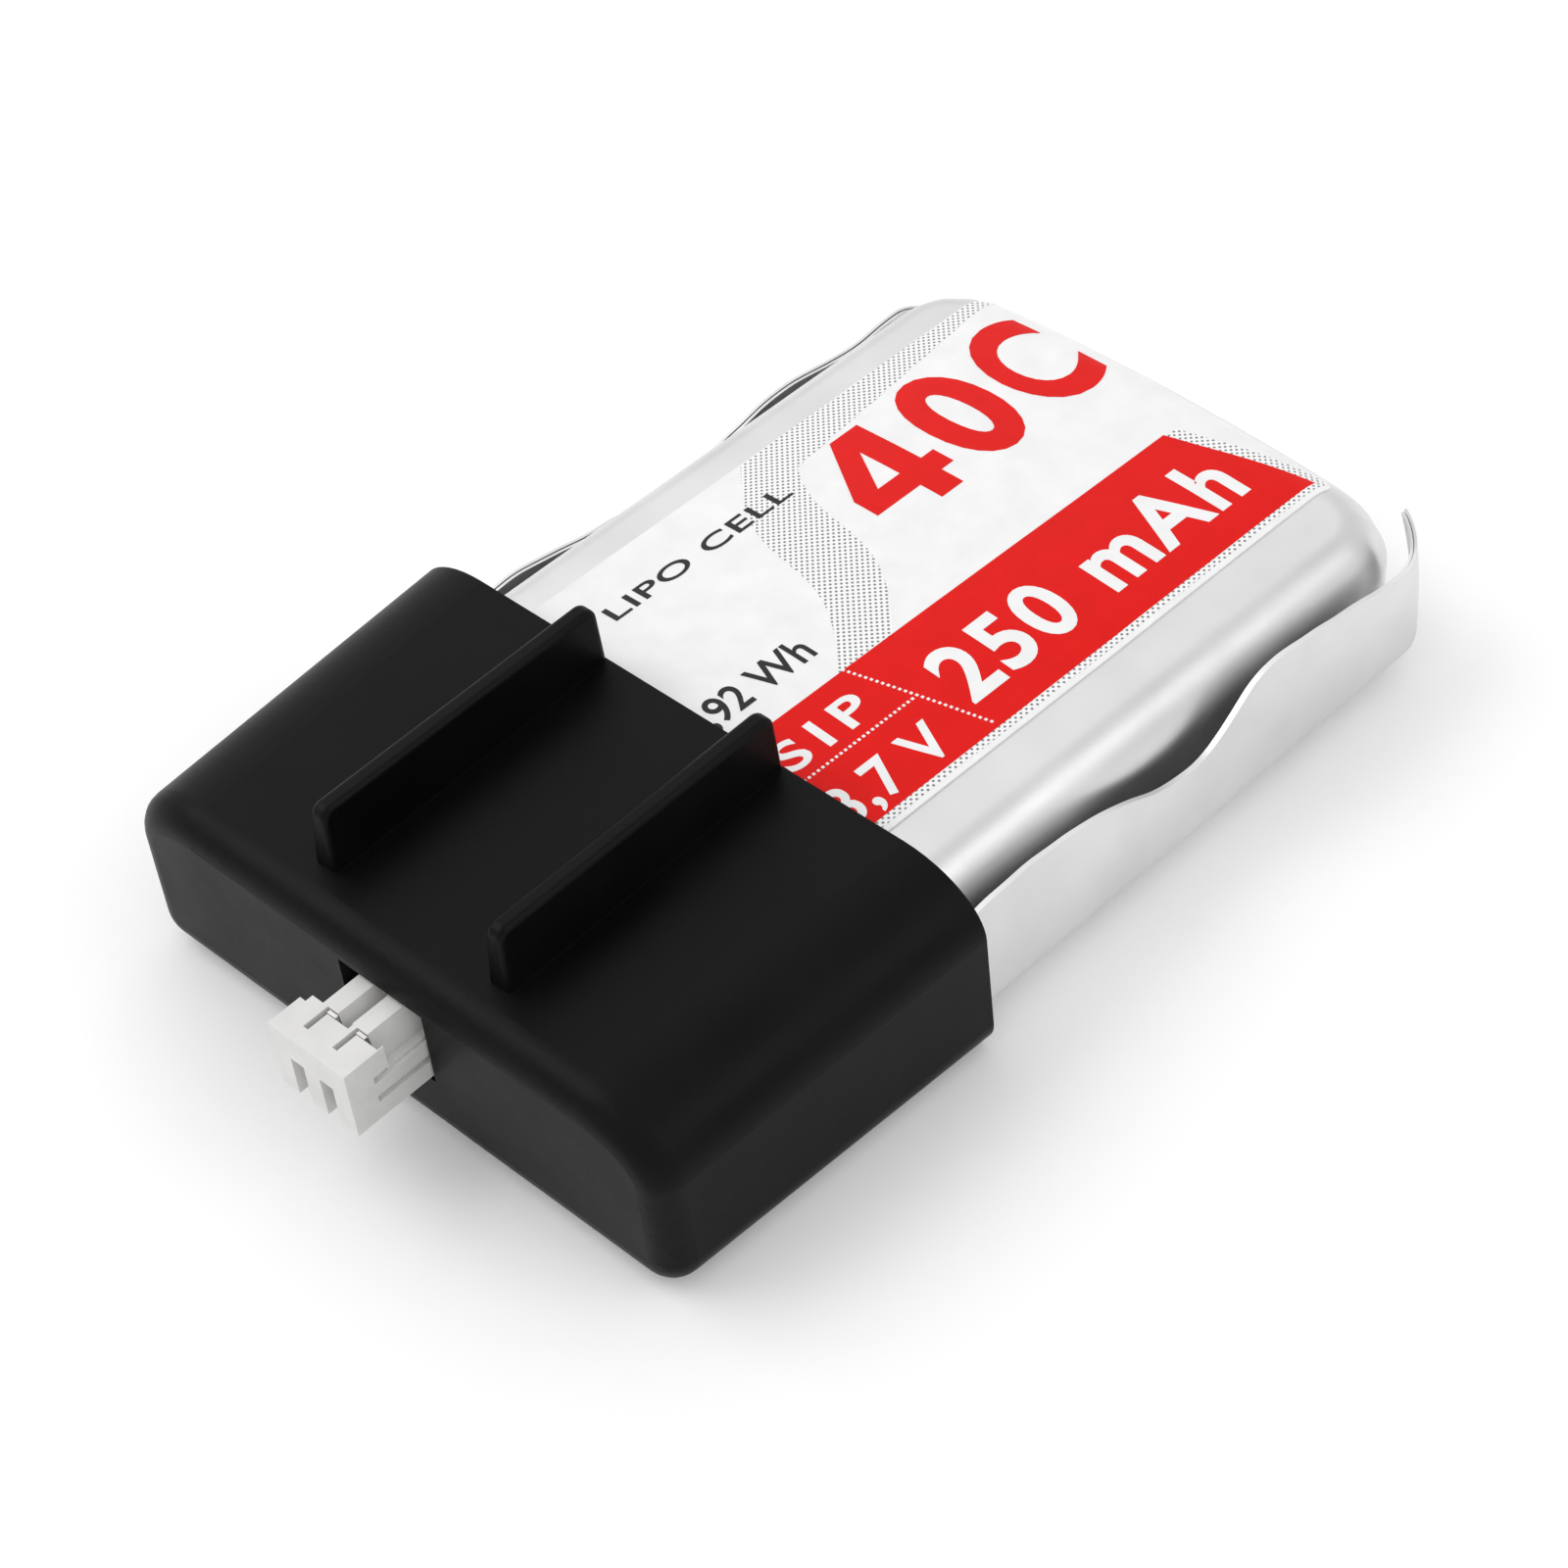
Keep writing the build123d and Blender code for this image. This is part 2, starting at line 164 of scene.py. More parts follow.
def skinned(rows, closed):
    """A surface through rows of points. Closed rows are rings, and the first and last are capped."""
    bm = bmesh.new()
    vertices = [[bm.verts.new(point) for point in row] for row in rows]
    for row, following in zip(vertices, vertices[1:]):
        count = len(row) if closed else len(row) - 1
        for i in range(count):
            k = (i + 1) % len(row)
            bm.faces.new((row[i], row[k], following[k], following[i]))
    if closed:
        bm.faces.new(vertices[-1])
        bm.faces.new(reversed(vertices[0]))
    bmesh.ops.recalc_face_normals(bm, faces=bm.faces)
    return bm


# ---- Materials ----

class Nodes:
    """A material's node tree, with short ways to add and join nodes."""

    def __init__(self, name):
        self.material = bpy.data.materials.new(name)
        self.material.use_nodes = True
        self.tree = self.material.node_tree
        self.shader = self.tree.nodes["Principled BSDF"]
        self.coordinates = self.add("ShaderNodeTexCoord").outputs["Object"]

    def add(self, kind, **settings):
        node = self.tree.nodes.new(kind)
        for key, value in settings.items():
            setattr(node, key, value)
        return node

    def link(self, source, target):
        self.tree.links.new(source, target)

    def put(self, socket, value):
        """Sets a socket to a number or colour, or links an output to it."""
        if isinstance(value, bpy.types.NodeSocket):
            self.link(value, socket)
        else:
            socket.default_value = value

    def math(self, operation, first, second=0.0, third=0.0):
        node = self.add("ShaderNodeMath", operation=operation)
        for socket, value in zip(node.inputs, (first, second, third)):
            self.put(socket, value)
        return node.outputs[0]

    def noise(self, scale, detail=3.0, stretch=(1, 1, 1)):
        """Noise whose scale is in features per millimetre."""
        mapping = self.add("ShaderNodeMapping")
        self.link(self.coordinates, mapping.inputs["Vector"])
        mapping.inputs["Scale"].default_value = [axis * scale / MM for axis in stretch]
        node = self.add("ShaderNodeTexNoise")
        self.link(mapping.outputs[0], node.inputs["Vector"])
        node.inputs["Scale"].default_value = 1
        node.inputs["Detail"].default_value = detail
        return node.outputs["Fac"]

    def spread(self, value, low, high):
        """Maps the middle of a noise's range to low..high."""
        node = self.add("ShaderNodeMapRange")
        self.link(value, node.inputs["Value"])
        node.inputs["From Min"].default_value = 0.3
        node.inputs["From Max"].default_value = 0.7
        node.inputs["To Min"].default_value = low
        node.inputs["To Max"].default_value = high
        return node.outputs["Result"]

    def mix(self, factor, first, second):
        node = self.add("ShaderNodeMix", data_type="RGBA")
        self.put(node.inputs["Factor"], factor)
        self.put(node.inputs["A"], first)
        self.put(node.inputs["B"], second)
        return node.outputs["Result"]

    def bump(self, height, distance, strength=1.0):
        """Adds a bump of the given depth, in millimetres, on top of any that is there."""
        node = self.add("ShaderNodeBump")
        node.inputs["Strength"].default_value = strength
        node.inputs["Distance"].default_value = distance * MM
        self.link(height, node.inputs["Height"])
        normal = self.shader.inputs["Normal"]
        if normal.links:
            self.link(normal.links[0].from_socket, node.inputs["Normal"])
        self.link(node.outputs[0], normal)

    def edges(self, radius):
        """How near a point is to a sharp edge, from 0 upwards, within a radius in millimetres."""
        bevel = self.add("ShaderNodeBevel", samples=6)
        bevel.inputs["Radius"].default_value = radius * MM
        geometry = self.add("ShaderNodeNewGeometry")
        dot = self.add("ShaderNodeVectorMath", operation="DOT_PRODUCT")
        self.link(bevel.outputs[0], dot.inputs[0])
        self.link(geometry.outputs["Normal"], dot.inputs[1])
        return self.math("SUBTRACT", 1.0, dot.outputs["Value"])

    def set(self, **values):
        for name, value in values.items():
            self.put(self.shader.inputs[name.replace("_", " ")], value)
        return self


def cap_plastic():
    """Black moulded plastic with a fine satin grain, lighter and smoother along its edges: partly polished
    wear, partly a painted highlight.
    """
    n = Nodes("cap_plastic")
    cloud = n.noise(0.35, 4)
    grain = n.noise(9.0, 2)
    # Near edges the colour is lighter, partly polished wear and partly a painted highlight, and the roughness
    # is lower from the polish.
    wear_and_edge_highlight = n.math("MINIMUM", n.math("MULTIPLY", n.edges(0.12), 3.0), 1.0)
    moulded = n.mix(n.spread(cloud, 0, 1), (0.0022, 0.0022, 0.0024, 1), (0.0038, 0.0038, 0.004, 1))
    n.set(Base_Color=n.mix(wear_and_edge_highlight, moulded, (0.008, 0.008, 0.0084, 1)),
          Roughness=n.math("SUBTRACT", n.spread(cloud, 0.36, 0.46), n.math("MULTIPLY", wear_and_edge_highlight, 0.08)))
    n.shader.inputs["Specular IOR Level"].default_value = 0.1
    n.bump(grain, 0.004)
    n.bump(n.noise(0.6, 2), 0.02, 0.5)
    return n.material


def nylon():
    """White nylon of the plug, slightly waxy."""
    n = Nodes("plug_nylon")
    cloud = n.noise(0.8, 3)
    n.set(Base_Color=n.mix(n.spread(cloud, 0, 1), (0.66, 0.655, 0.64, 1), (0.74, 0.735, 0.72, 1)),
          Roughness=n.spread(n.noise(3.0, 2), 0.38, 0.5))
    n.shader.inputs["Subsurface Weight"].default_value = 0.08
    n.shader.inputs["Subsurface Radius"].default_value = (0.3 * MM, 0.28 * MM, 0.25 * MM)
    n.shader.inputs["Subsurface Scale"].default_value = 1.0
    n.bump(n.noise(6.0, 3), 0.008)
    return n.material


def metal(name, colour, roughness, grain=4.0):
    """A plain metal with fine grain and uneven polish."""
    n = Nodes(name)
    darker = tuple(channel * 0.75 for channel in colour)
    n.set(Base_Color=n.mix(n.spread(n.noise(1.5, 3), 0, 1), (*darker, 1), (*colour, 1)),
          Roughness=n.spread(n.noise(grain, 3), roughness * 0.75, roughness * 1.3))
    n.shader.inputs["Metallic"].default_value = 1.0
    n.bump(n.noise(grain * 2, 2, (1, 0.2, 1)), 0.004)
    return n.material


def coated(name, dark, light, roughness, grain, depth):
    """A plain non-metal with slight colour variation and a fine grain."""
    n = Nodes(name)
    n.set(Base_Color=n.mix(n.spread(n.noise(1.2, 4), 0, 1), (*dark, 1), (*light, 1)),
          Roughness=n.spread(n.noise(grain * 0.4, 3), roughness * 0.85, roughness * 1.15))
    n.bump(n.noise(grain, 3), depth)
    return n.material


def laminate():
    """Silver aluminium laminate: satin, with soft creases along the cell."""
    n = Nodes("laminate")
    cloud = n.noise(0.25, 3)
    n.set(Base_Color=n.mix(n.spread(cloud, 0, 1), (0.70, 0.70, 0.705, 1), (0.79, 0.79, 0.795, 1)),
          Roughness=n.spread(n.noise(0.9, 4, (1, 0.4, 1)), 0.36, 0.46))
    n.shader.inputs["Metallic"].default_value = 1.0
    n.bump(n.noise(0.30, 2, (1, 0.35, 1)), 0.08, 0.8)
    n.bump(n.noise(1.6, 2), 0.004)
    n.bump(n.noise(14.0, 2), 0.0018)
    return n.material


def halftone(n, coverage):
    """1 on the dots of a 45 degree screen, 0 between them."""
    pitch = 0.144 * MM
    softness = 0.25           # half the width of a dot's soft edge, on the wave's scale of -2 to 2
    split = n.add("ShaderNodeSeparateXYZ")
    n.link(n.coordinates, split.inputs[0])
    turn = 2 * math.pi / pitch * math.sqrt(0.5)
    total = n.math("MULTIPLY", n.math("ADD", split.outputs["X"], split.outputs["Y"]), turn)
    difference = n.math("MULTIPLY", n.math("SUBTRACT", split.outputs["X"], split.outputs["Y"]), turn)
    wave = n.math("ADD", n.math("COSINE", total), n.math("COSINE", difference))
    edge = n.add("ShaderNodeMapRange")
    n.link(wave, edge.inputs["Value"])
    edge.inputs["From Min"].default_value = 2 - 4 * coverage - softness
    edge.inputs["From Max"].default_value = 2 - 4 * coverage + softness
    return edge.outputs["Result"]


def printed(name, ink, paper=None, coverage=0.3):
    """Printed label film. With a paper colour, the ink is a halftone screen on it."""
    n = Nodes(name)
    cloud = n.spread(n.noise(1.0, 4), 0, 1)
    if paper:
        colour = n.mix(halftone(n, coverage), paper, ink)
    else:
        colour = n.mix(cloud, ink, tuple(channel * 0.93 for channel in ink[:3]) + (1,))
    n.set(Base_Color=colour, Roughness=n.spread(n.noise(2.0, 3), 0.30, 0.40))
    n.shader.inputs["Specular IOR Level"].default_value = 0.15
    n.bump(n.noise(0.4, 2), 0.01, 0.4)
    n.bump(n.noise(8.0, 3), 0.0012)
    return n.material


# ---- Pouch ----

def body_height(x, y):
    """Height of the body's flat top, before the shoulders."""
    ripple = BROAD_RIPPLE * noise.noise((x * 0.3, y * 0.12, 3.0))
    ripple += FINE_RIPPLE * noise.noise((x * 0.9, y * 0.4, 7.0))
    return BODY_TOP - CROWN * x * x - TAIL_FALL * max(y - TAIL_FALL_START, 0) + ripple


def shoulder(normal_x):
    """Width and drop of the rounded edge where the outline faces this way."""
    share = normal_x * normal_x
    return [tail + (side - tail) * share for tail, side in zip(TAIL_SHOULDER, SIDE_SHOULDER)]


def skin_height(x, y):
    """Height of the pouch's top surface at any point of its plan."""
    corner_x = BODY_HALF - BODY_CORNER
    corner_y = BODY_END - BODY_CORNER
    if abs(x) > corner_x and y > corner_y:
        reach_x, reach_y = abs(x) - corner_x, y - corner_y
        reach = math.hypot(reach_x, reach_y)
        inset = BODY_CORNER - reach
        width, drop = shoulder(reach_x / reach)
    elif BODY_HALF - abs(x) < BODY_END - y:
        inset, (width, drop) = BODY_HALF - abs(x), SIDE_SHOULDER
    else:
        inset, (width, drop) = BODY_END - y, TAIL_SHOULDER
    across = 1 - min(max(inset / width, 0), 1)
    return body_height(x, y) - drop * (1 - math.sqrt(1 - across * across))


def corner_crease(nx, ny, z):
    """How far the film is gathered inwards where it is drawn round a corner."""
    turn = math.atan2(ny, nx)
    strength = 4 * nx * nx * ny * ny * blend(BODY_FLOOR, 2.0, z)
    return CREASE * strength * (math.sin(CREASE_RATE * turn) + 0.7 * noise.noise((turn * 5, z * 0.4, 2.0)))


def rounded_outline(half, start, end, corner):
    """Points and outward normals round a rounded rectangle. Every outline has as many points."""
    corner_steps, end_steps, side_steps = 14, 30, 56
    corner_x, low, high = half - corner, start + corner, end - corner
    outline = []
    centres = ((corner_x, high), (-corner_x, high), (-corner_x, low), (corner_x, low))
    for quarter, (cx, cy) in enumerate(centres):
        for i in range(corner_steps + 1):
            angle = math.pi / 2 * (quarter + i / corner_steps)
            nx, ny = math.cos(angle), math.sin(angle)
            x, y = cx + nx * corner, cy + ny * corner
            outline.append((x, y, nx, ny))
        across_end = quarter % 2 == 0
        span, steps = (2 * corner_x, end_steps) if across_end else (high - low, side_steps)
        for i in range(1, steps):
            step = span * i / steps
            outline.append((x - ny * step, y + nx * step, nx, ny))
    return outline


def inset_ring(outline, inset, z):
    return [on_cell(x - nx * inset, y - ny * inset, z) for x, y, nx, ny in outline]


def closing_rings(points, middle_low, middle_high, steps, height):
    """Rings that shrink from the given plan points to the middle line, between two y values."""
    rings = []
    for i in range(1, steps):
        share = i / steps
        ring = []
        for x, y in points:
            middle = min(max(y, middle_low), middle_high)
            ring_x, ring_y = x * (1 - share), y + (middle - y) * share
            ring.append(on_cell(ring_x, ring_y, height(ring_x, ring_y)))
        rings.append(ring)
    return rings


def add_body(material):
    """The drawn body: walls with slight dents, soft shoulders and a gently crowned top."""
    outline = rounded_outline(BODY_HALF, BODY_START, BODY_END, BODY_CORNER)
    foot = BODY_FLOOR + 0.28
    rings = [inset_ring(outline, 0.25, BODY_FLOOR),
             inset_ring(outline, 0.06, BODY_FLOOR + 0.08)]
    wall_steps = 6
    for i in range(wall_steps):
        ring = []
        for x, y, nx, ny in outline:
            wall_top = body_height(x, y) - shoulder(nx)[1]
            z = foot + (wall_top - foot) * i / wall_steps
            depth = WALL_DENT * math.sin(math.pi * i / wall_steps)
            dent = depth * (noise.noise((y * 0.35, z * 0.5, x * 0.35)) + 0.4) + corner_crease(nx, ny, z)
            ring.append(on_cell(x - nx * dent, y - ny * dent, z))
        rings.append(ring)
    shoulder_steps = 20
    for i in range(shoulder_steps + 1):
        angle = math.pi / 2 * i / shoulder_steps
        ring = []
        for x, y, nx, ny in outline:
            width, drop = shoulder(nx)
            inset = width * (1 - math.cos(angle))
            z = body_height(x - nx * inset, y - ny * inset) - drop * (1 - math.sin(angle))
            inset += corner_crease(nx, ny, z) * math.cos(angle)
            ring.append(on_cell(x - nx * inset, y - ny * inset, z))
        rings.append(ring)
    top = [(x - nx * shoulder(nx)[0], y - ny * shoulder(nx)[0]) for x, y, nx, ny in outline]
    rings += closing_rings(top, BODY_START + BODY_HALF, BODY_END - BODY_HALF, 14, body_height)
    return add_piece("pouch_body", skinned(rings, closed=True), material, "laminate", "pouch_cup")


def add_underside(material):
    """The flat back film with its slight swell, which the pack lies on."""
    plate = rounded_outline(BODY_HALF + 0.1, BODY_START - 1, BODY_END + 0.12, BODY_CORNER)
    rim = rounded_outline(BELLY_HALF, BELLY_START, BELLY_END, BELLY_CORNER)
    rings = [inset_ring(plate, 0.4, BODY_FLOOR + 0.05), inset_ring(plate, 0.02, BODY_FLOOR + 0.02),
             inset_ring(plate, 0.0, UNDER + 0.07), inset_ring(plate, 0.06, UNDER)]
    slope_steps = 10
    for i in range(slope_steps + 1):
        rings.append(inset_ring(rim, BELLY_SLOPE * i / slope_steps, UNDER * (1 - blend(0, slope_steps, i))))

    def foot_height(x, y):
        return 0.02 * max(noise.noise((x * 0.4, y * 0.3, 11.0)), 0)

    foot = [(x - nx * BELLY_SLOPE, y - ny * BELLY_SLOPE) for x, y, nx, ny in rim]
    rings += closing_rings(foot, BELLY_START + BELLY_HALF, BELLY_END - BELLY_HALF, 12, foot_height)
    return add_piece("pouch_underside", skinned(rings, closed=True), material, "laminate", "pouch_cover")


def add_front_seal(material):
    """The flat seal inside the cap, raised where the two tabs pass through it."""
    half, start, end = 8.2, 4.6, 8.6
    tab_x, tab_half, tab_rise, tab_edge = 4.5, 1.45, 0.25, 0.35
    top = BODY_FLOOR + 0.15
    rows = []
    steps, row_steps = 64, 8
    for j in range(row_steps + 1):
        y = start + (end - start) * j / row_steps
        upper = []
        for i in range(steps + 1):
            x = -half + 2 * half * i / steps
            away = abs(abs(x) - tab_x)
            rise = tab_rise * (1 - blend(tab_half, tab_half + tab_edge, away))
            upper.append(on_cell(x, y, top + rise + 0.015 * noise.noise((x, y, 5.0))))
        lower = [on_cell(half - 2 * half * i / steps, y, UNDER + 0.03) for i in range(steps + 1)]
        rows.append(upper + lower)
    return add_piece("pouch_front_seal", skinned(rows, closed=True), material, "laminate",
                     "pouch_cup", "pouch_cover")


# ---- Folded side seals ----

# Height of each seal's wavy top edge along the cell, as (y, z)
RIGHT_WAVE = [(7.6, 3.0), (11.36, 4.18), (13.5, 4.33), (16.1, 3.95), (18.3, 3.16), (19.6, 3.08), (20.5, 3.36),
              (21.6, 4.15), (22.9, 4.4), (26.05, 3.96), (27.35, 3.75), (28.4, 3.9), (29.4, 4.45)]
LEFT_WAVE = [(7.6, 2.7), (12.0, 3.45), (13.7, 3.4), (16.1, 3.0), (18.5, 2.6), (20.7, 3.0), (22.7, 3.35),
             (25.4, 3.05), (27.5, 3.1), (28.7, 2.8)]
# How far each seal reaches along its own run at each height, as (z, run)
RIGHT_TAIL = [(0.55, 27.7), (0.9, 28.25), (1.6, 28.65), (3.2, 29.0), (4.45, 29.4)]
LEFT_TAIL = [(0.55, 27.2), (0.9, 28.0), (1.5, 28.5), (3.0, 28.7)]


def seal_plan(run, inset):
    """The point of a seal's plan at a run along it: straight, then curled round the tail."""
    if run < CURL_START:
        return FOLD_X - inset, run
    angle = (run - CURL_START) / CURL_RADIUS
    radius = CURL_RADIUS - inset
    return FOLD_X - CURL_RADIUS + radius * math.cos(angle), CURL_START + radius * math.sin(angle)


def add_seal(name, side, wave, tail, depth, cut, material, node):
    """One film of a side seal: a flat foot, a round fold and an upright band with a wavy top.

    The film lies this depth inside the seal's outer face, and its top edge is cut this much lower.
    """
    run_steps, fold_steps, band_steps = 130, 8, 18
    rows = []
    for i in range(run_steps + 1):
        share = i / run_steps
        nominal = FOLD_START + (tail[-1][1] - FOLD_START) * share
        top = through(wave, nominal) - cut
        floor = UNDER + depth
        radius = FOLD_RADIUS - depth
        profile = [(FOLD_RADIUS + 0.45, floor), (FOLD_RADIUS + 0.2, floor)]
        for k in range(fold_steps + 1):
            angle = math.pi / 2 * k / fold_steps
            profile.append((FOLD_RADIUS - radius * math.sin(angle), floor + radius * (1 - math.cos(angle))))
        for k in range(1, band_steps + 1):
            rise = k / band_steps
            z = floor + radius + (top - floor - radius) * rise
            waver = 0.6 + noise.noise((nominal * 0.22, side * 4.0, 0.0))
            bulge = SEAL_BULGE * math.sin(math.pi * rise) * waver
            crinkle = SEAL_CRINKLE * rise * noise.noise((nominal * 0.9, z * 0.6, side * 2.0))
            lean = SEAL_LEAN * rise * rise * noise.noise((nominal * 0.3, side * 9.0, 4.0))
            profile.append((depth - bulge - crinkle - lean, z))
        row = []
        for inset, z in profile:
            reach = through(tail, z)
            run = FOLD_START + (reach - FOLD_START) * share
            x, y = seal_plan(run, inset)
            row.append(on_cell(side * x, y, z))
        rows.append(row)
    bm = skinned(rows, closed=False)
    bm.faces.ensure_lookup_table()
    middle = bm.faces[len(bm.faces) // 2]
    outwards = side if middle.normal.x * side > 0 else -side
    bmesh.ops.solidify(bm, geom=bm.faces[:], thickness=FILM * MM * outwards * side)
    bmesh.ops.recalc_face_normals(bm, faces=bm.faces)
    return add_piece(name, bm, material, "laminate", node)


# ---- Label and print ----

def drape(name, bm, rise, material, *nodes):
    """Lays flat shapes, drawn in millimetres on the cell's plan, on the pouch as a thin film.

    The film's lower side is first drawn a millimetre down, where it is thick enough for the normals
    to be found, and then brought up to its real place.
    """
    xs = [vertex.co.x for vertex in bm.verts]
    ys = [vertex.co.y for vertex in bm.verts]
    for axis, low, high in ((Vector((1, 0, 0)), min(xs), max(xs)), (Vector((0, 1, 0)), min(ys), max(ys))):
        for step in range(math.ceil(low / GRID), math.floor(high / GRID) + 1):
            everything = bm.verts[:] + bm.edges[:] + bm.faces[:]
            bmesh.ops.bisect_plane(bm, geom=everything, dist=1e-5, plane_co=axis * GRID * step, plane_no=axis)
    thickness = LABEL_RISE if nodes else 2 * INK
    lower = bmesh.ops.extrude_face_region(bm, geom=bm.faces[:], use_keep_orig=True)["geom"]
    lower = {item for item in lower if isinstance(item, bmesh.types.BMVert)}
    for vertex in lower:
        vertex.co.z = -1
    bmesh.ops.recalc_face_normals(bm, faces=bm.faces)
    for vertex in bm.verts:
        x, y = vertex.co.x, vertex.co.y
        sunk = thickness if vertex in lower else 0
        vertex.co = on_cell(x, y, skin_height(x, y) + rise - sunk)
    return add_piece(name, bm, material, "label_film", *nodes)


def shapes(*outlines):
    """A flat bmesh of the given outlines."""
    bm = bmesh.new()
    for outline in outlines:
        bm.faces.new([bm.verts.new((x, y, 0)) for x, y in outline])
    return bm


def label_outline():
    steps = 6
    outline = []
    corners = ((LABEL_RIGHT, LABEL_END, 0), (LABEL_LEFT, LABEL_END, 1),
               (LABEL_LEFT, LABEL_START, 2), (LABEL_RIGHT, LABEL_START, 3))
    for x, y, quarter in corners:
        cx = x - math.copysign(LABEL_CORNER, x)
        cy = y + (LABEL_CORNER if y == LABEL_START else -LABEL_CORNER)
        for i in range(steps + 1):
            angle = math.pi / 2 * (quarter + i / steps)
            outline.append((cx + LABEL_CORNER * math.cos(angle), cy + LABEL_CORNER * math.sin(angle)))
    return outline


def lettering(text, baseline, cap_height, start, end, weight, spacing=1.0):
    """Text that reads towards the tail, with its feet to the right, fitted between two y values."""
    curve = bpy.data.curves.new(text, "FONT")
    curve.body = text
    curve.offset = weight
    curve.resolution_u = 6
    curve.space_character = spacing
    holder = bpy.data.objects.new(text, curve)
    bpy.context.scene.collection.objects.link(holder)
    bpy.context.view_layer.update()
    mesh = bpy.data.meshes.new_from_object(holder.evaluated_get(bpy.context.evaluated_depsgraph_get()))
    bpy.data.objects.remove(holder)
    bm = bmesh.new()
    bm.from_mesh(mesh)
    bpy.data.meshes.remove(mesh)
    bmesh.ops.remove_doubles(bm, verts=bm.verts, dist=1e-4)
    left = min(vertex.co.x for vertex in bm.verts)
    right = max(vertex.co.x for vertex in bm.verts)
    top = max(vertex.co.y for vertex in bm.verts)
    tall = cap_height / (top + weight)
    long = (end - start) / (right - left)
    for vertex in bm.verts:
        u, v = vertex.co.x, vertex.co.y
        vertex.co = (baseline - (v + weight) * tall, start + (u - left) * long, 0)
    return bm


def digit_four(baseline, height, start, end):
    """A bold 4 that reads like the lettering, in two halves that meet along its stem's left edge."""
    stem, stem_end = 0.56, 0.84
    bar, bar_top = 0.2, 0.39
    left = [(0, bar), (stem, bar), (stem, bar_top), (0.27, bar_top), (stem, 0.77), (stem, 1), (0.48, 1),
            (0, 0.42)]
    right = [(stem, 0), (stem_end, 0), (stem_end, bar), (1, bar), (1, bar_top), (stem_end, bar_top),
             (stem_end, 1), (stem, 1), (stem, 0.77), (stem, bar_top), (stem, bar)]
    halves = [[(baseline - v * height, start + u * (end - start)) for u, v in half] for half in (left, right)]
    bm = shapes(*halves)
    bmesh.ops.remove_doubles(bm, verts=bm.verts, dist=1e-4)
    return bm


def dotted_line(x0, y0, x1, y1):
    """A row of small square dots."""
    pitch, half = 0.16, 0.04
    length = math.hypot(x1 - x0, y1 - y0)
    dots = []
    for i in range(int(length / pitch)):
        share = (i + 0.5) * pitch / length
        x, y = x0 + (x1 - x0) * share, y0 + (y1 - y0) * share
        dots.append([(x - half, y - half), (x + half, y - half), (x + half, y + half), (x - half, y + half)])
    return shapes(*dots)


def band_outline():
    """A plain wavy band across the label, with a strip from it along the label's left edge."""
    left, right, strip = LABEL_LEFT + 0.02, 1.62, -5.1

    def middle(x):
        share = (right - x) / (right - left)
        return 15.4 + 4.4 * share + 0.5 * math.sin(2 * math.pi * share)

    steps = 24
    near = [right + (left - right) * i / steps for i in range(steps + 1)]
    far = [strip + (right - strip) * i / steps for i in range(steps + 1)]
    return ([(x, middle(x) - 1.0) for x in near] + [(left, LABEL_END - 0.4), (strip - 1.0, LABEL_END - 0.02)]
            + [(x, middle(x) + 1.0) for x in far])


def add_label():
    film = printed("label_film", WHITE)
    screen = printed("halftone_print", GREY, WHITE)
    red = printed("red_print", RED)
    white = printed("white_print", WHITE)
    black = printed("black_print", BLACK)
    rise = LABEL_RISE
    drape("label_skin", shapes(label_outline()), rise, film, "label")

    rise += INK
    drape("label_band", shapes(band_outline()), rise, screen)
    border_right = LABEL_RIGHT - 0.17
    border = [(5.0, LABEL_START + 0.05), (border_right, LABEL_START + 0.05), (border_right, 28.2),
              (5.8, LABEL_END - 0.1), (5.6, LABEL_END - 0.1), (1.8, 27.1), (1.8, 26.0)]
    drape("panel_border", shapes(border), rise, screen)

    rise += INK
    drape("rating_4", digit_four(RATING_FEET, 4.0, 19.45, 22.35), rise, red)
    for digit, start, end in (("0", 22.75, 25.1), ("C", 25.55, 27.95)):
        drape("rating_" + digit, lettering(digit, RATING_FEET, 4.2, start, end, 0.035), rise, red)
    drape("chemistry_text", lettering("LIPO CELL", -4.35, 0.62, 12.25, 18.75, 0.01, 1.05), rise, black)
    drape("energy_text", lettering("0,92 Wh", 0.66, 0.98, 10.4, 14.65, 0.012), rise, black)
    panel = [(1.5, LABEL_START + 0.05), (5.76, LABEL_START + 0.05), (5.82, 28.04), (1.72, 26.68)]
    drape("red_panel", shapes(panel), rise, red)

    rise += INK
    drape("capacity_text", lettering("250 mAh", 4.85, 2.05, 16.03, 26.6, 0.026, 1.12), rise, white)
    drape("voltage_text", lettering("3,7 V", 5.48, 1.27, 11.0, 14.75, 0.02, 1.05), rise, white)
    drape("cells_text", lettering("1S1P", 3.21, 1.03, 10.5, 14.2, 0.02, 1.1), rise, white)
    drape("panel_divider_across", dotted_line(1.5, 14.6, 5.76, 15.94), rise, white)
    drape("panel_divider_along", dotted_line(3.57, 11.0, 3.57, 15.2), rise, white)


# ---- Finishes of the pieces that keep their CAD shape ----

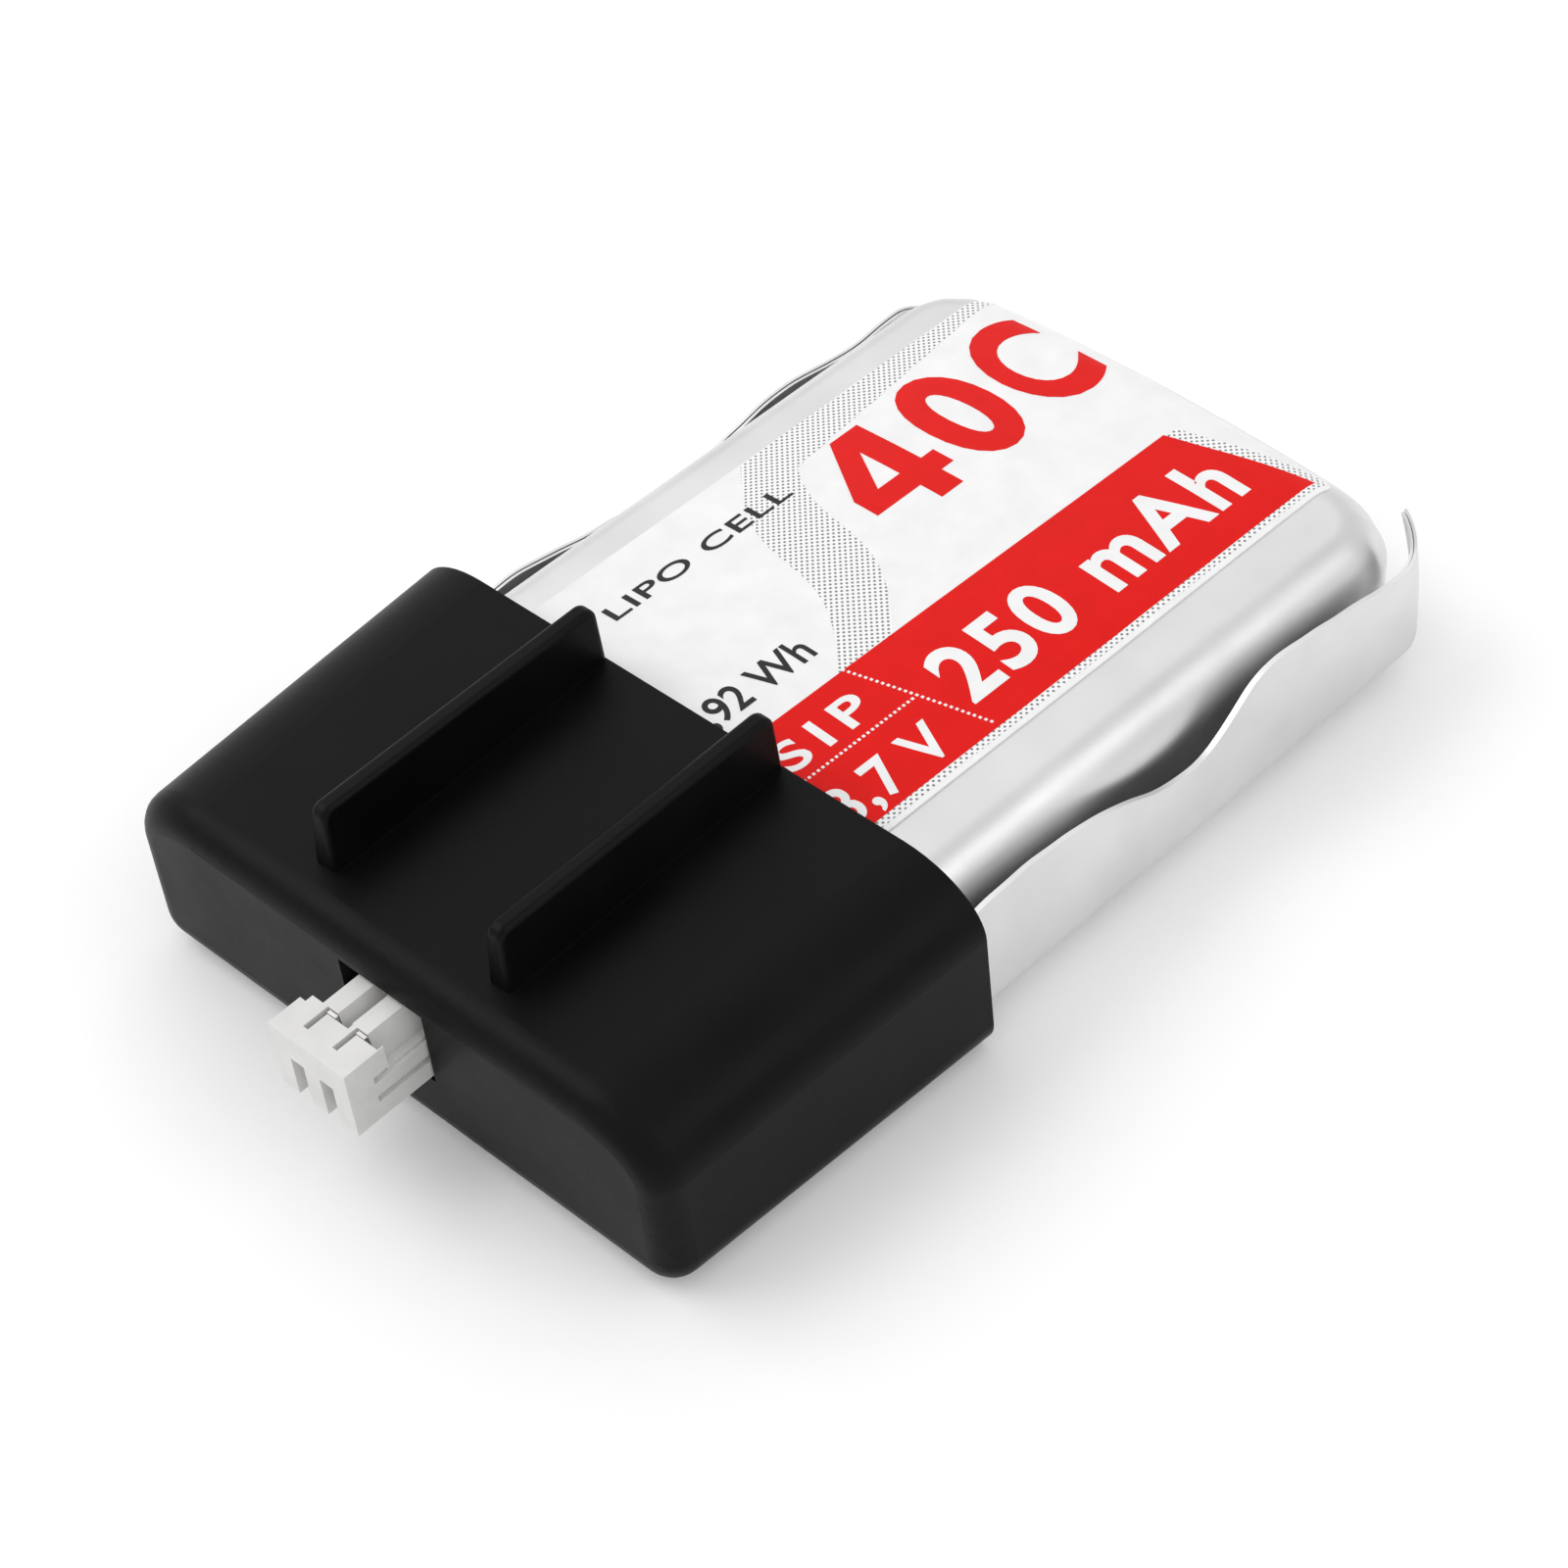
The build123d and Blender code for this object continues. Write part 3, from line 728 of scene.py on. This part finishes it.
def finish_cad_nodes():
    tin = metal("tin_plate", (0.80, 0.79, 0.76), 0.2)
    copper_strands = metal("tinned_copper", (0.72, 0.69, 0.64), 0.35, grain=8.0)
    solder = metal("solder_alloy", (0.74, 0.74, 0.74), 0.22, grain=2.0)
    red_silicone = coated("red_silicone", (0.5, 0.02, 0.015), (0.68, 0.035, 0.025), 0.55, 5.0, 0.006)
    black_silicone = coated("black_silicone", (0.012, 0.012, 0.012), (0.022, 0.022, 0.022), 0.55, 5.0, 0.006)
    tab_seal = coated("seal_film", (0.06, 0.06, 0.06), (0.11, 0.11, 0.11), 0.35, 4.0, 0.004)
    cathode = coated("cathode_coating", (0.035, 0.035, 0.04), (0.06, 0.06, 0.065), 0.8, 20.0, 0.004)
    anode = coated("anode_coating", (0.018, 0.018, 0.018), (0.035, 0.035, 0.035), 0.85, 20.0, 0.004)
    separator = coated("separator_film", (0.82, 0.82, 0.82), (0.90, 0.90, 0.90), 0.5, 10.0, 0.002)
    finishes = {
        "end_cap": cap_plastic(),
        "connector_housing": nylon(),
        "contact_positive": tin,
        "contact_negative": tin,
        "lead_core_positive": copper_strands,
        "lead_core_negative": copper_strands,
        "lead_insulation_positive": red_silicone,
        "lead_insulation_negative": black_silicone,
        "solder_positive": solder,
        "solder_negative": solder,
        "tab_positive": metal("tab_aluminium", (0.86, 0.86, 0.87), 0.3),
        "tab_negative": metal("tab_nickel", (0.68, 0.65, 0.60), 0.3),
        "tab_seal_positive": tab_seal,
        "tab_seal_negative": tab_seal,
        "collector_positive": metal("aluminium_foil", (0.86, 0.86, 0.87), 0.38, grain=3.0),
        "collector_negative": metal("copper_foil", (0.85, 0.42, 0.27), 0.38, grain=3.0),
        "cathode_sheets": cathode,
        "anode_sheets": anode,
        "separator_sheets": separator,
        "stack_tape": coated("green_tape", (0.03, 0.27, 0.14), (0.05, 0.36, 0.2), 0.3, 6.0, 0.002),
        "insulating_tape": coated("polyimide", (0.5, 0.22, 0.02), (0.62, 0.31, 0.04), 0.25, 6.0, 0.002),
        "connector_glue": coated("clear_glue", (0.70, 0.68, 0.60), (0.82, 0.80, 0.73), 0.25, 1.5, 0.02),
        "cap_glue": coated("foam_pad", (0.66, 0.66, 0.64), (0.78, 0.78, 0.76), 0.9, 6.0, 0.02),
    }
    for node, material in finishes.items():
        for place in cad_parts[node].material_slots:
            place.material = material


# ---- Floor, light and camera ----

def add_floor():
    n = Nodes("floor")
    n.set(Base_Color=n.mix(n.spread(n.noise(0.02, 3), 0, 1), (0.86, 0.86, 0.86, 1), (0.89, 0.89, 0.89, 1)),
          Roughness=n.spread(n.noise(0.05, 2), 0.7, 0.8), Emission_Color=(1, 1, 1, 1), Emission_Strength=0.12)
    reach = 400 * MM
    mesh = bpy.data.meshes.new("floor")
    mesh.from_pydata([(-reach, -reach, 0), (reach, -reach, 0), (reach, reach, 0), (-reach, reach, 0)], [],
                     [(0, 1, 2, 3)])
    mesh.materials.append(n.material)
    floor = bpy.data.objects.new("floor", mesh)
    bpy.context.scene.collection.objects.link(floor)


def add_light(name, azimuth, elevation, distance, width, height, power):
    """A soft rectangular light that faces the pack's middle."""
    turn, lift = math.radians(azimuth), math.radians(elevation)
    back = Vector((math.sin(turn) * math.cos(lift), -math.cos(turn) * math.cos(lift), math.sin(lift)))
    data = bpy.data.lights.new(name, "AREA")
    data.shape = "RECTANGLE"
    data.size = width * MM
    data.size_y = height * MM
    data.energy = power
    light = bpy.data.objects.new(name, data)
    light.matrix_world = Matrix.Translation(at(0, 15, 3) + back * distance * MM) @ back.to_track_quat(
        "Z", "Y").to_matrix().to_4x4()
    bpy.context.scene.collection.objects.link(light)


def add_lights():
    world = bpy.data.worlds.new("studio")
    world.use_nodes = True
    background = world.node_tree.nodes["Background"]
    background.inputs["Color"].default_value = (1, 1, 1, 1)
    background.inputs["Strength"].default_value = 0.78
    bpy.context.scene.world = world
    bpy.context.scene.view_settings.view_transform = "Standard"
    add_light("back", 229, 45, 300, 320, 260, 0.08)
    add_light("key", -60, 50, 260, 200, 160, 0.2)
    add_light("fill", 110, 40, 260, 160, 120, 0.07)


def add_camera():
    """A long lens from above the plug's right-hand side."""
    azimuth, elevation, roll = math.radians(49.007), math.radians(45.166), math.radians(7.490)
    distance = 99.516 * MM
    target = at(2.520, 11.455, 4.0)
    back = Vector((math.sin(azimuth) * math.cos(elevation), -math.cos(azimuth) * math.cos(elevation),
                   math.sin(elevation)))
    right = Vector((math.cos(azimuth), math.sin(azimuth), 0))
    up = back.cross(right)
    rolled_right = right * math.cos(roll) - up * math.sin(roll)
    rolled_up = back.cross(rolled_right)
    camera = bpy.data.objects.new("camera", bpy.data.cameras.new("camera"))
    camera.matrix_world = Matrix.Translation(target + back * distance) @ Matrix(
        (rolled_right, rolled_up, back)).transposed().to_4x4()
    camera.data.lens = 91.16
    camera.data.sensor_width = 36
    camera.data.clip_start = 0.005
    camera.data.clip_end = 5
    bpy.context.scene.collection.objects.link(camera)
    bpy.context.scene.camera = camera


def build():
    foil = laminate()
    add_body(foil)
    add_underside(foil)
    add_front_seal(foil)
    for name, side, wave, tail in (("right", 1, RIGHT_WAVE, RIGHT_TAIL), ("left", -1, LEFT_WAVE, LEFT_TAIL)):
        add_seal(name + "_seal_outer", side, wave, tail, 0.0, 0.0, foil, "pouch_cover")
        add_seal(name + "_seal_inner", side, wave, tail, FILM + FILM_GAP, FILM_STEP, foil, "pouch_cup")
    add_label()
    finish_cad_nodes()
    add_floor()
    add_lights()
    add_camera()


build()
